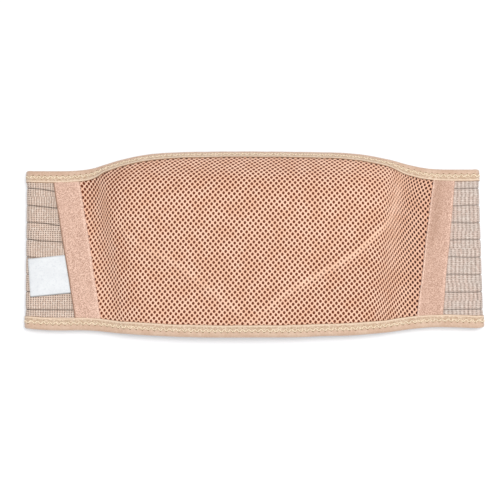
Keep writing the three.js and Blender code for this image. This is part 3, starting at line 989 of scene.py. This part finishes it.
def belly_panel(finishes):
    """The panel's knit back, a closed wall, and its open face, laid on the wall's outer side."""
    core_gap = 0.1 * MM  # between the lattice's lowest ring and the knit below it
    tuck = 3 * MM  # of the lattice under tapes and strips

    x, y, run, length = panel_grid(150, inset_rows(SHEET_INSET, 90), FIT / STRIP_WIDTH)
    u, v = laid_lengths(x, y)
    half = wall_half(x, y, run, length)
    cloth = np.stack([u, v, pinched(x, y)], -1)
    wide, tall = float(np.ptp(x)), float(length.max()) - 2 * SHEET_INSET
    core = wall_piece(
        "belly_mesh_back", x, y, -half, half - FACE_DEPTH - core_gap, finishes["back"], cloth
    )
    # The core's outer side, seen down the lattice's holes, takes the depth finish: painted shade
    core.data.materials.append(finishes["depth"])
    outer_faces = (x.shape[0] - 1) * (x.shape[1] - 1)
    slots = np.zeros(len(core.data.polygons), np.int32)
    slots[:outer_faces] = 1
    core.data.polygons.foreach_set("material_index", slots)

    place = 1 - 2 * tuck / STRIP_WIDTH
    x, y, run, length = panel_grid(190, inset_rows(TAPE_WIDTH - tuck, 90), place)
    u, v = laid_lengths(x, y)
    half = wall_half(x, y, run, length)
    _, out = belt_frame(x, y)
    pinch = np.stack([pinched(x, y)] * 3, -1)
    carrier = new_mesh(
        "face_cloth", offset_points(x, y, half), grid_faces(*x.shape), finishes["face"],
        {"cloth": np.stack([u, v, 0 * u], -1), "out": out, "pinch": pinch},
    )

    # The turned lattice reaches past the cloth, which trims it
    columns = int((u.max() - u.min()) / HOLE_PITCH * 1.12)
    rows = int((v.max() - v.min()) / (2 * ROW_PITCH) * 1.3)
    lattice = lattice_pattern(columns, rows, finishes["face"]).lay_on(carrier, "belly_mesh_face")
    keep(lattice, "spacer_mesh")
    keep(core, "spacer_mesh", "belly_panel")


def rib_relief(level):
    """Height of the ribs over rows of flat heights, and how deep in a groove each place is."""
    away = np.abs(level[..., None] - GROOVE_CENTRES).min(-1)
    groove = hump(away, GROOVE_HALF)
    crown = RIB_CROWN * smooth(away / (RIB_PITCH / 4))
    return crown - GROOVE_DEPTH * groove, groove


def wing(side, seam, finish, name, node):
    """One wing of ribbed elastic: from under its strip, round the fold, to a hem at the back."""
    hem_width, hem_rise = 14 * MM, 0.5 * MM
    front_steps, fold_steps, back_steps = 22, 15, 110
    near = np.array([-6.5, -4, -2, -1.2, -0.75, -0.4, 0, 0.4, 0.75, 1.2, 2, 4, 6.5]) * MM
    crests = np.append(GROOVE_CENTRES, GROOVE_CENTRES[0] - RIB_PITCH) + RIB_PITCH / 2
    low, high = WING_BOTTOM + SHEET_INSET, WING_TOP - SHEET_INSET
    by_grooves = (GROOVE_CENTRES[:, None] + near).ravel()
    level = np.unique(np.concatenate([[low, high], by_grooves, crests]))
    level = level[(level >= low) & (level <= high)]

    runs = np.concatenate([
        np.linspace(0, FOLD_LENGTH, fold_steps)[1:-1],
        np.linspace(FOLD_LENGTH, CLOTH_END - FOLD_X, back_steps),
    ])
    along = np.zeros((front_steps + len(runs), len(level)))
    middle = strip_line(seam, 0, 0.5)
    across = (level - bottom_edge(middle)) / (top_edge(middle) - bottom_edge(middle))
    start = np.abs(strip_line(seam, 0, across)) + FIT / 2
    along[:front_steps] = lerp(start, FOLD_X, np.linspace(0, 1, front_steps)[:, None])
    along[front_steps:] = FOLD_X + runs[:, None]

    # Grooves wander a little, and those of the left wing's front slope towards the strip
    sway = np.stack([
        0.5 * MM * wander(along[:, 0], 7 * i + side + 1, 55 * MM)
        for i in range(RIB_GROOVES)
    ], 1)
    if side < 0:
        lowest, highest = GROOVE_CENTRES[0], GROOVE_CENTRES[-1]
        steepness = np.interp(GROOVE_CENTRES, [lowest, 0, highest], [0.2, 0.7, 1])
        slant = steepness * math.tan(math.radians(5))
        sway += -slant * np.clip(FOLD_X - along[:, :1], 0, None)
    knots = np.concatenate([[low], GROOVE_CENTRES, [high]])
    shift = np.array([np.interp(level, knots, line) for line in np.pad(sway, ((0, 0), (1, 1)))])
    edge_x = np.clip(side * along, -FOLD_X, FOLD_X)
    low_edge, high_edge = bottom_edge(edge_x) + SHEET_INSET, top_edge(edge_x) - SHEET_INSET
    y = level + shift
    y[:, 0], y[:, -1] = low_edge[:, 0], high_edge[:, -1]

    relief, groove = rib_relief(np.broadcast_to(level, y.shape))
    hem = smooth((along - (CLOTH_END - hem_width)) / (2 * MM)) * hem_rise
    clear = smooth((np.minimum(y - low_edge, high_edge - y) - TAPE_WIDTH) / (3 * MM))
    groove = groove * (1 - 0.6 * (hem > 0))
    outer = WING_HALF + relief + hem * clear
    inner = -(WING_HALF + 0.3 * relief)
    cloth = np.stack([along, y, groove], -1)
    piece = wall_piece(name, side * along, y, inner, outer, finish, cloth)
    keep(piece, "ribbed_elastic", node)


def tape_profile():
    """Section of the folded tape as a closed loop of (from the fold, outwards), lip first.

    Its first points, as many as the second value says, are those of the outer face.
    """
    dent_depth, dent_width = 0.22 * MM, 0.8 * MM  # under each row of stitches
    bend = 2.6 * MM
    turn = np.radians([28, 45, 60, 75])
    flat = np.array([
        12.5, 12.42, 12.2, 11.6, 10.4, 9.5, 8.6, 7.7, 6.7, 5.7, 4.8, 4.0, 3.2, 2.4,
    ]) * MM
    dent = sum(dent_depth * hump(flat - row, dent_width) for row in (STITCH_OUTER, STITCH_INNER))
    lip = np.interp(flat, np.array([12.2, 12.42, 12.5]) * MM, np.array([0, 0.2, 0.5]) * MM)
    outer = np.stack([flat, TAPE_HALF - dent - lip], 1)
    curve = np.stack([bend * (1 - np.sin(turn)), TAPE_HALF * np.cos(turn)], 1)
    face = np.concatenate([outer, curve])
    slot = np.array([[1, 0.6], [1.2, 1.5], [4, 1.5], [8, 1.5], [12.4, 1.5]]) * MM
    flip = np.array([1, -1])
    fold_edge = np.array([[0, 0]])
    loop = np.concatenate([face, fold_edge, face[::-1] * flip, slot[::-1] * flip, slot])
    return loop, len(face)


def along_binding(is_top, spacing):
    """Places along the cloth at even steps of a binding's length, and the lengths there."""
    rough = np.linspace(-CLOTH_END, CLOTH_END, 900)
    edge_x = np.clip(rough, -FOLD_X, FOLD_X)
    edge = top_edge(edge_x) - TAPE_WIDTH / 2 if is_top else bottom_edge(edge_x) + TAPE_WIDTH / 2
    point, _ = belt_frame(rough, edge)
    run = np.concatenate([[0], np.cumsum(np.linalg.norm(np.diff(point, axis=0), axis=1))])
    count = int(run[-1] / spacing)
    even = np.linspace(0, run[-1], count)
    return np.interp(even, run, rough), even


def binding(is_top, finishes):
    """One folded tape round a long edge of the belt, with its stitching on both sides."""
    edge = "top" if is_top else "bottom"
    along, run = along_binding(is_top, STITCH_PITCH / 4)
    profile, face_count = tape_profile()
    swing = 0.25 * MM * wander(run, 5 + is_top, 40 * MM)[:, None]
    plump = 0.95 + 0.05 * wander(run, 15 + is_top, 23 * MM)[:, None]

    def laid(inset, out):
        """Points of a face at insets from the folded edge, and their Y."""
        inset = inset + swing * (inset / TAPE_WIDTH) ** 2
        _, y, _, _ = cross_lines(
            lambda share: np.broadcast_to(along[:, None], (len(along), share.shape[-1])),
            lambda length: length - inset if is_top else inset + 0 * length,
        )
        return offset_points(along[:, None] + 0 * y, y, out), y

    inset = np.broadcast_to(profile[:, 0], (len(along), len(profile)))
    out = profile[:, 1] * np.where(np.abs(profile[:, 1]) > SLOT_HALF + 0.1 * MM, plump, 1)
    points, _ = laid(inset, out)
    index = np.arange(inset.size).reshape(inset.shape)
    beside = np.roll(index, -1, axis=1)
    faces = np.stack([index[:-1], beside[:-1], beside[1:], index[1:]], -1).reshape(-1, 4)
    cloth = np.stack([np.broadcast_to(run[:, None], inset.shape), inset, 0 * inset], -1)
    piece = new_mesh(edge + "_binding_tape", points, faces, finishes["tape"], {"cloth": cloth})
    close_ends(piece)
    keep(piece, "binding_tape", edge + "_binding")

    rows = np.linspace(1.5, 12, 12) * MM  # of the cloth that carries a pattern of stitches
    flat = np.broadcast_to(rows, (len(along), len(rows)))
    relief = np.interp(rows, profile[:face_count, 0][::-1], profile[:face_count, 1][::-1])
    for face, sign in (("outer", 1), ("inner", -1)):
        points, y = laid(flat, sign * relief * plump)
        _, normal = belt_frame(along[:, None] + 0 * y, y)
        cloth = np.stack([np.broadcast_to(run[:, None], y.shape), flat, 0 * y], -1)
        carrier = new_mesh(
            "stitch_cloth", points, grid_faces(*y.shape), finishes["tape"],
            {"cloth": cloth, "out": sign * normal},
        )
        pattern = cover_stitch_pattern(run[-1], finishes["thread"], finishes["needle"])
        stitching = pattern.lay_on(carrier, f"{edge}_binding_{face}_stitching")
        keep(stitching, "binding_tape")


def close_ends(piece):
    """Closes the two ends of a ring-shaped section."""
    body = bmesh.new()
    body.from_mesh(piece.data)
    bmesh.ops.holes_fill(body, edges=[edge for edge in body.edges if edge.is_boundary], sides=0)
    bmesh.ops.triangulate(body, faces=[face for face in body.faces if len(face.verts) > 4])
    bmesh.ops.recalc_face_normals(body, faces=body.faces)
    body.to_mesh(piece.data)
    body.free()
    piece.data.polygons.foreach_set("use_smooth", np.ones(len(piece.data.polygons), bool))
    piece.data.set_sharp_from_angle(angle=math.radians(60))


def strip(seam, name, node, finish, shade, bead, turned_edge, shadow_by_wing):
    """A velour strip over a seam, darkened all over by a share of painted shade.

    The bead is a raised edge along the panel, with painted shade beside it. The turned edge is a
    smooth bright band at a place across the strip; the shadow by the wing is a share of painted
    shadow.
    """
    places = np.array([
        -1, -0.985, -0.94, -0.86, -0.78, -0.6, -0.3, 0,
        0.3, 0.5, 0.65, 0.78, 0.86, 0.92, 0.97, 0.99, 1,
    ])
    rounding = np.array([0.9, 0.45, 0.15, 0, 0, 0, 0, 0, 0, 0, 0, 0, 0, 0.02, 0.12, 0.4, 0.9]) * MM
    if seam["side"] > 0:
        places, rounding = places[::-1], rounding[::-1]
    beaded = hump(places - 0.93, 0.05) * bead
    turned = hump(places - turned_edge, 0.09)
    # Painted shadow line along the strip's edge by the wing
    sewn = shadow_by_wing * (places < -0.93)
    # Painted shade in a band beside the bead
    hollow_shade = 0.4 * hump(places - 0.4, 0.4) * bead

    def line_x(share):
        wave = 0.03 * wander(share, 31 + seam["side"], 0.45)
        return strip_line(seam, places[:, None] * (1 + wave), share)

    x, y, run, length = cross_lines(line_x, inset_rows(TAPE_WIDTH - 1 * MM, 100))
    from_end = np.minimum(run, length - run) - TAPE_WIDTH
    pressed = 0.85 * MM * (1 - smooth((from_end + 1 * MM) / (5 * MM)))
    soft = 0.12 * MM * wander(run + 0.7 * x, 41 + seam["side"], 30 * MM)
    outer = SLOT_HALF + STRIP_WALL - rounding[:, None] - pressed + soft + 0.3 * MM * beaded[:, None]
    inner = SLOT_HALF + 0 * run
    outer = np.maximum(outer, inner + 0.2 * MM)
    shaded = hollow_shade[:, None] * smooth((run / length - 0.35) / 0.3)  # in the strip's upper part
    # The strip's own share of painted shade darkens all of it
    tint = np.clip(beaded + 0.55 * turned, 0, 1)[:, None] - shaded - sewn[:, None] - shade
    cloth = np.stack([x, run, tint], -1)
    piece = wall_piece(name, x, y, inner, outer, finish, cloth, sharp=70)
    keep(piece, "velour", node)


def label(finish):
    """The woven label, its place for a print left bare."""
    middle = -WING_DROP - LABEL_DROP + 1.6 * MM
    skew = 0.06  # of its outer edge
    rows = np.array([-0.5, -0.485, -0.46, -0.4, -0.2, 0, 0.2, 0.4, 0.46, 0.485, 0.5]) * LABEL_HEIGHT
    shares = np.linspace(0, 1, 60)[:, None]

    def strip_reach(y):
        return FOLD_X + strip_line(LEFT_SEAM, -1, (y - WING_BOTTOM) / WING_HEIGHT) - FIT

    y = middle + rows - LABEL_SLANT * (1 - shares)
    reach = lerp(strip_reach(middle) - LABEL_WIDTH - skew * (y - middle), strip_reach(y), shares)
    side_edge = np.minimum(shares, 1 - shares) * LABEL_WIDTH
    row_edge = LABEL_HEIGHT / 2 - np.abs(rows)
    rounding = 0.35 * MM * (1 - smooth(np.minimum(side_edge, row_edge) / (1 * MM)))
    lift = 0.35 * MM * (1 - smooth(row_edge / (5 * MM))) * wander(reach, 3, 30 * MM) ** 2
    outer = SLOT_HALF + LABEL_WALL - rounding + lift
    inner = SLOT_HALF + lift + 0 * y

    # The hems get painted shade, the lower one most, for the shadow under its edge
    hemmed = 1 - smooth(row_edge / (1.5 * MM))
    shade = np.where(rows < 0, 1.4, 0.6) * hemmed + 0.4 * (1 - smooth(side_edge / (1 * MM)))
    cloth = np.stack([reach, y, shade + 0 * y], -1)
    piece = wall_piece("blank_label", reach - FOLD_X, y, inner, outer, finish, cloth)
    keep(piece, "woven_label", "label")


def hook_patch(finish):
    """The hook tape between the two wing ends: a base with rounded corners."""
    low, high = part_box("hook_patch")
    body = bmesh.new()
    bmesh.ops.create_cube(body, size=1)
    for corner in body.verts:
        corner.co = [lerp(low[i], high[i], corner.co[i] + 0.5) for i in range(3)]
    for upright, rounding, segments in ((True, 6 * MM, 6), (False, 0.5 * MM, 2)):
        edges = [
            edge for edge in body.edges
            if (abs(edge.verts[0].co.z - edge.verts[1].co.z) > 0.1 * MM) == upright
        ]
        bmesh.ops.bevel(
            body, geom=edges, offset=rounding, segments=segments, affect="EDGES", profile=0.5
        )
    piece = piece_of("hook_tape_patch", body, finish)
    mesh = piece.data
    layer = mesh.attributes.new("cloth", "FLOAT_VECTOR", "POINT")
    layer.data.foreach_set("vector", [value for corner in mesh.vertices for value in corner.co])
    keep(piece, "hook_tape", "hook_patch")


# Room

def camera():
    """The photo's camera: from above the belt's lower edge."""
    target, elevation, distance = Vector((-4, -5.2, 14.5)) * MM, math.radians(78), 1500 * MM
    data = bpy.data.cameras.new("camera")
    data.sensor_width, data.lens = 36, 108
    view = add_object("camera", data)
    view.location = target + distance * Vector((0, -math.cos(elevation), math.sin(elevation)))
    view.rotation_euler = (math.pi / 2 - elevation, 0, 0)
    bpy.context.scene.camera = view


def lamp(name, place, size, power, color):
    """A round lamp that faces the belt."""
    data = bpy.data.lights.new(name, "AREA")
    data.shape, data.size, data.energy, data.color = "DISK", size, power, color
    light = add_object(name, data)
    light.location = place
    light.rotation_euler = (-Vector(place)).to_track_quat("-Z", "Y").to_euler()


def room():
    body = bmesh.new()
    bmesh.ops.create_grid(body, x_segments=1, y_segments=1, size=4)
    piece_of("floor", body, floor_finish())

    world = bpy.data.worlds.new("studio")
    world.use_nodes = True
    sky = world.node_tree.nodes["Background"].inputs
    sky["Color"].default_value = (0.93, 0.96, 1.0, 1.0)
    sky["Strength"].default_value = 0.64
    bpy.context.scene.world = world
    lamp("key", (0.6, -0.1, 3.4), size=1.3, power=87, color=(1.0, 0.975, 0.95))
    bpy.context.scene.view_settings.view_transform = "Standard"


def main():
    camera()
    room()
    belly_panel({
        "face": face_knit(),
        # Both knits darken by the right strip as painted shade; the depth knit is all painted shade
        "back": core_knit("back_knit", (206, 160, 136), (232, 190, 166), by_strip=(210, 164, 140)),
        "depth": core_knit("spacer_depth", (98, 46, 26), (130, 70, 42), by_strip=(66, 26, 12)),
    })
    right_elastic = ribbed_elastic(
        "right_elastic", (202, 180, 168), (198, 183, 173), painted_groove_shade=(130, 118, 110),
        dot_pitch=1.9 * MM, fine=(2 * MM, 0.3), columns=(4 * MM, 0.75), tight_share=0.12,
    )
    left_elastic = ribbed_elastic(
        "left_elastic", (212, 187, 170), (202, 180, 164), painted_groove_shade=(56, 42, 32),
        dot_pitch=2.1 * MM, fine=(2.4 * MM, 0.85), columns=(7.2 * MM, 0.95), tight_share=0.04,
    )
    wing(-1, LEFT_SEAM, left_elastic, "left_wing_elastic", "left_wing")
    wing(1, RIGHT_SEAM, right_elastic, "right_wing_elastic", "right_wing")
    pile = velour()
    # One velour for both strips, each darkened by its own share of painted shade
    strip(
        LEFT_SEAM, "left_velour_strip", "left_strip", pile,
        shade=0.28, bead=0, turned_edge=0.87, shadow_by_wing=1.4,
    )
    strip(
        RIGHT_SEAM, "right_velour_strip", "right_strip", pile,
        shade=0.5, bead=1, turned_edge=-0.88, shadow_by_wing=0.4,
    )
    tape_finishes = {
        "tape": binding_tape(),
        "thread": thread_finish("seam_thread", (254, 240, 212), (232, 206, 168)),
        # Dark ovals at the needle holes: painted shade
        "needle": thread_finish("needle_shade", (124, 90, 56), (100, 70, 42)),
    }
    binding(True, tape_finishes)
    binding(False, tape_finishes)
    label(woven_label())
    hook_patch(hook_tape())


main()
